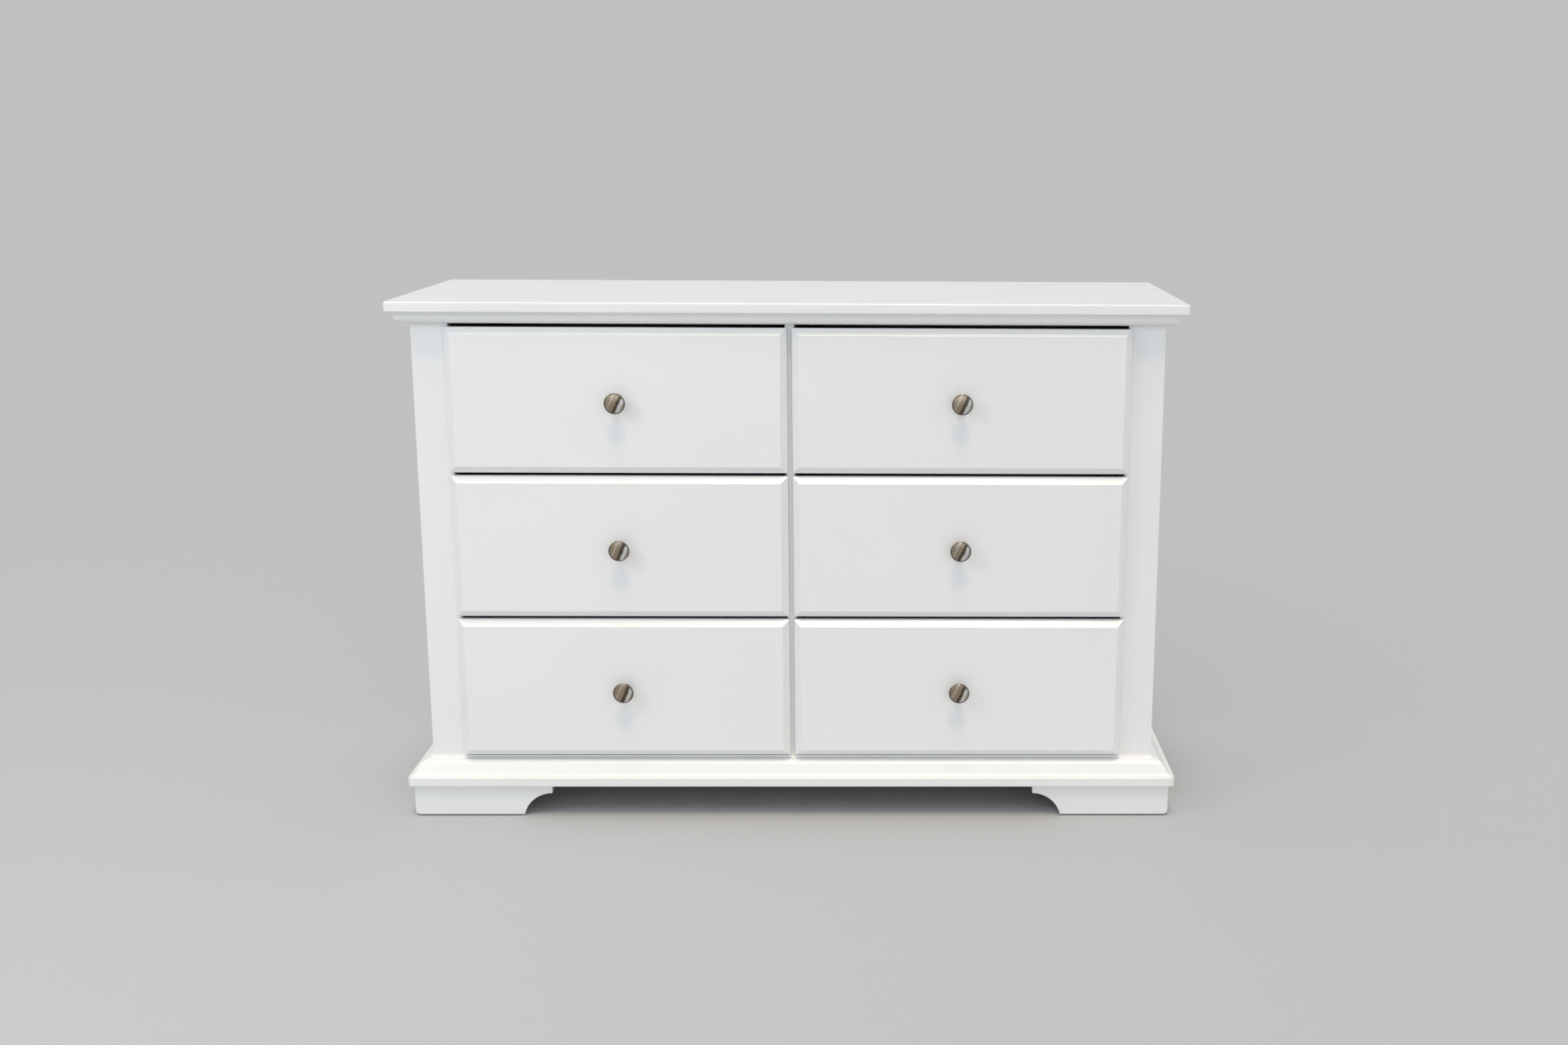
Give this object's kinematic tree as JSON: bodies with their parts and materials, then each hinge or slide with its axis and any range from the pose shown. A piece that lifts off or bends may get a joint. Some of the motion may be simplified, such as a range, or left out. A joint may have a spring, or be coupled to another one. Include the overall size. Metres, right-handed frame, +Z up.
{
  "type": "dresser with drawers",
  "caption": "White painted double dresser: drawers in two columns with bevelled fronts and round metal knobs, slab top on a crown moulding, ogee base and bracket feet.",
  "frame": {"origin": "on the floor, in the middle of the overall width and of the overall depth with the drawers closed", "axes": "+X to the right as seen from the front, the drawer fronts face -Y, +Z up"},
  "size_m": [1.328, 0.474, 0.891],
  "materials": {
    "white_lacquer": "satin white lacquer",
    "case_board": "plain pressed board, unpainted",
    "back_board": "smooth brown hardboard",
    "raw_wood": "clear sealed pale solid wood",
    "drawer_floor_board": "clear sealed birch plywood",
    "knob_nickel": "brushed nickel",
    "runner_steel": "bright zinc plate",
    "glide_nylon": "moulded nylon"
  },
  "bodies": {
    "case": {"top_panel": "white_lacquer", "crown_front": "white_lacquer", "crown_left": "white_lacquer", "crown_right": "white_lacquer", "side_panel_left": "white_lacquer", "side_panel_right": "white_lacquer", "stile_left": "white_lacquer", "stile_right": "white_lacquer", "centre_stile": "white_lacquer", "face_rails": "white_lacquer", "partition": "case_board", "bottom_panel": "case_board", "back_panel": "back_board", "back_rails": "case_board", "base_moulding_front": "white_lacquer", "base_moulding_left": "white_lacquer", "base_moulding_right": "white_lacquer", "front_foot_left": "white_lacquer", "front_foot_right": "white_lacquer", "rear_feet": "white_lacquer", "foot_blocks": "raw_wood", "foot_glides": "glide_nylon", "runner_cleats": "raw_wood", "case_runners": "runner_steel"},
    "upper_left_drawer": {"upper_left_front": "white_lacquer", "upper_left_box": "raw_wood", "upper_left_floor": "drawer_floor_board", "upper_left_knob": "knob_nickel", "upper_left_runner": "runner_steel"},
    "upper_left_slides": {"upper_left_slide": "runner_steel"},
    "upper_right_drawer": {"upper_right_front": "white_lacquer", "upper_right_box": "raw_wood", "upper_right_floor": "drawer_floor_board", "upper_right_knob": "knob_nickel", "upper_right_runner": "runner_steel"},
    "upper_right_slides": {"upper_right_slide": "runner_steel"},
    "middle_left_drawer": {"middle_left_front": "white_lacquer", "middle_left_box": "raw_wood", "middle_left_floor": "drawer_floor_board", "middle_left_knob": "knob_nickel", "middle_left_runner": "runner_steel"},
    "middle_left_slides": {"middle_left_slide": "runner_steel"},
    "middle_right_drawer": {"middle_right_front": "white_lacquer", "middle_right_box": "raw_wood", "middle_right_floor": "drawer_floor_board", "middle_right_knob": "knob_nickel", "middle_right_runner": "runner_steel"},
    "middle_right_slides": {"middle_right_slide": "runner_steel"},
    "lower_left_drawer": {"lower_left_front": "white_lacquer", "lower_left_box": "raw_wood", "lower_left_floor": "drawer_floor_board", "lower_left_knob": "knob_nickel", "lower_left_runner": "runner_steel"},
    "lower_left_slides": {"lower_left_slide": "runner_steel"},
    "lower_right_drawer": {"lower_right_front": "white_lacquer", "lower_right_box": "raw_wood", "lower_right_floor": "drawer_floor_board", "lower_right_knob": "knob_nickel", "lower_right_runner": "runner_steel"},
    "lower_right_slides": {"lower_right_slide": "runner_steel"}
  },
  "joints": [
    {"name": "upper_left_drawer_slide", "type": "slide", "parent": "case", "child": "upper_left_drawer", "axis": [0, -1, 0], "range_m": [0, 0.33]},
    {"name": "upper_left_slides_slide", "type": "slide", "parent": "case", "child": "upper_left_slides", "axis": [0, -1, 0], "range_m": [0, 0.165]},
    {"name": "upper_right_drawer_slide", "type": "slide", "parent": "case", "child": "upper_right_drawer", "axis": [0, -1, 0], "range_m": [0, 0.33]},
    {"name": "upper_right_slides_slide", "type": "slide", "parent": "case", "child": "upper_right_slides", "axis": [0, -1, 0], "range_m": [0, 0.165]},
    {"name": "middle_left_drawer_slide", "type": "slide", "parent": "case", "child": "middle_left_drawer", "axis": [0, -1, 0], "range_m": [0, 0.33]},
    {"name": "middle_left_slides_slide", "type": "slide", "parent": "case", "child": "middle_left_slides", "axis": [0, -1, 0], "range_m": [0, 0.165]},
    {"name": "middle_right_drawer_slide", "type": "slide", "parent": "case", "child": "middle_right_drawer", "axis": [0, -1, 0], "range_m": [0, 0.33]},
    {"name": "middle_right_slides_slide", "type": "slide", "parent": "case", "child": "middle_right_slides", "axis": [0, -1, 0], "range_m": [0, 0.165]},
    {"name": "lower_left_drawer_slide", "type": "slide", "parent": "case", "child": "lower_left_drawer", "axis": [0, -1, 0], "range_m": [0, 0.33]},
    {"name": "lower_left_slides_slide", "type": "slide", "parent": "case", "child": "lower_left_slides", "axis": [0, -1, 0], "range_m": [0, 0.165]},
    {"name": "lower_right_drawer_slide", "type": "slide", "parent": "case", "child": "lower_right_drawer", "axis": [0, -1, 0], "range_m": [0, 0.33]},
    {"name": "lower_right_slides_slide", "type": "slide", "parent": "case", "child": "lower_right_slides", "axis": [0, -1, 0], "range_m": [0, 0.165]}
  ],
  "couplings": [
    {"joint": "upper_left_slides_slide", "follows": "upper_left_drawer_slide", "ratio": 0.5},
    {"joint": "upper_right_slides_slide", "follows": "upper_right_drawer_slide", "ratio": 0.5},
    {"joint": "middle_left_slides_slide", "follows": "middle_left_drawer_slide", "ratio": 0.5},
    {"joint": "middle_right_slides_slide", "follows": "middle_right_drawer_slide", "ratio": 0.5},
    {"joint": "lower_left_slides_slide", "follows": "lower_left_drawer_slide", "ratio": 0.5},
    {"joint": "lower_right_slides_slide", "follows": "lower_right_drawer_slide", "ratio": 0.5}
  ]
}
